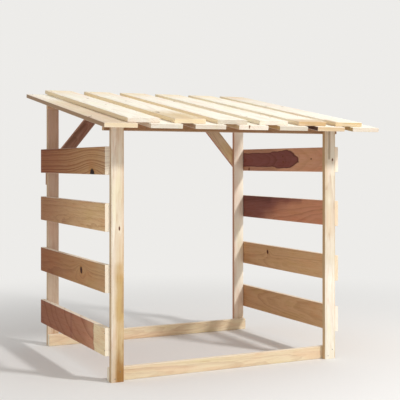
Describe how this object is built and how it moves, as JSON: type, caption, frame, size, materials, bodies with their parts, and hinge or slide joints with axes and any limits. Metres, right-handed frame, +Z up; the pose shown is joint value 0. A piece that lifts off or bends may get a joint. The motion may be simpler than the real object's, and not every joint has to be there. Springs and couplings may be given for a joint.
{
  "type": "roofed firewood rack",
  "caption": "Small open timber rack for stacking split logs, with slatted sides, knee braces at the back and a sloping roof of two overlapping layers of boards.",
  "frame": {"origin": "on the ground under the middle of the roof, seen from above", "axes": "+X to the right as one faces the open front, along the roof's width; +Y from the low front to the high back; +Z up"},
  "size_m": [1.029, 0.8906, 0.9975],
  "materials": {
    "post_timber": "planed, untreated pine",
    "frame_timber": "planed, untreated pine",
    "side_board_timber": "planed pine, knots and heartwood showing",
    "roof_board_timber": "planed pine, sun-bleached"
  },
  "bodies": {
    "root": {"front_left_post": "post_timber", "front_right_post": "post_timber", "back_left_post": "post_timber", "back_right_post": "post_timber", "front_top_beam": "frame_timber", "back_top_beam": "frame_timber", "front_bottom_rail": "frame_timber", "back_bottom_rail": "frame_timber", "left_brace": "frame_timber", "right_brace": "frame_timber", "left_side_board_1": "side_board_timber", "left_side_board_2": "side_board_timber", "left_side_board_3": "side_board_timber", "left_side_board_4": "side_board_timber", "right_side_board_1": "side_board_timber", "right_side_board_2": "side_board_timber", "right_side_board_3": "side_board_timber", "right_side_board_4": "side_board_timber", "lower_roof_board_1": "roof_board_timber", "lower_roof_board_2": "roof_board_timber", "lower_roof_board_3": "roof_board_timber", "lower_roof_board_4": "roof_board_timber", "lower_roof_board_5": "roof_board_timber", "lower_roof_board_6": "roof_board_timber", "lower_roof_board_7": "roof_board_timber", "upper_roof_board_1": "roof_board_timber", "upper_roof_board_2": "roof_board_timber", "upper_roof_board_3": "roof_board_timber", "upper_roof_board_4": "roof_board_timber", "upper_roof_board_5": "roof_board_timber", "upper_roof_board_6": "roof_board_timber"}
  },
  "joints": []
}
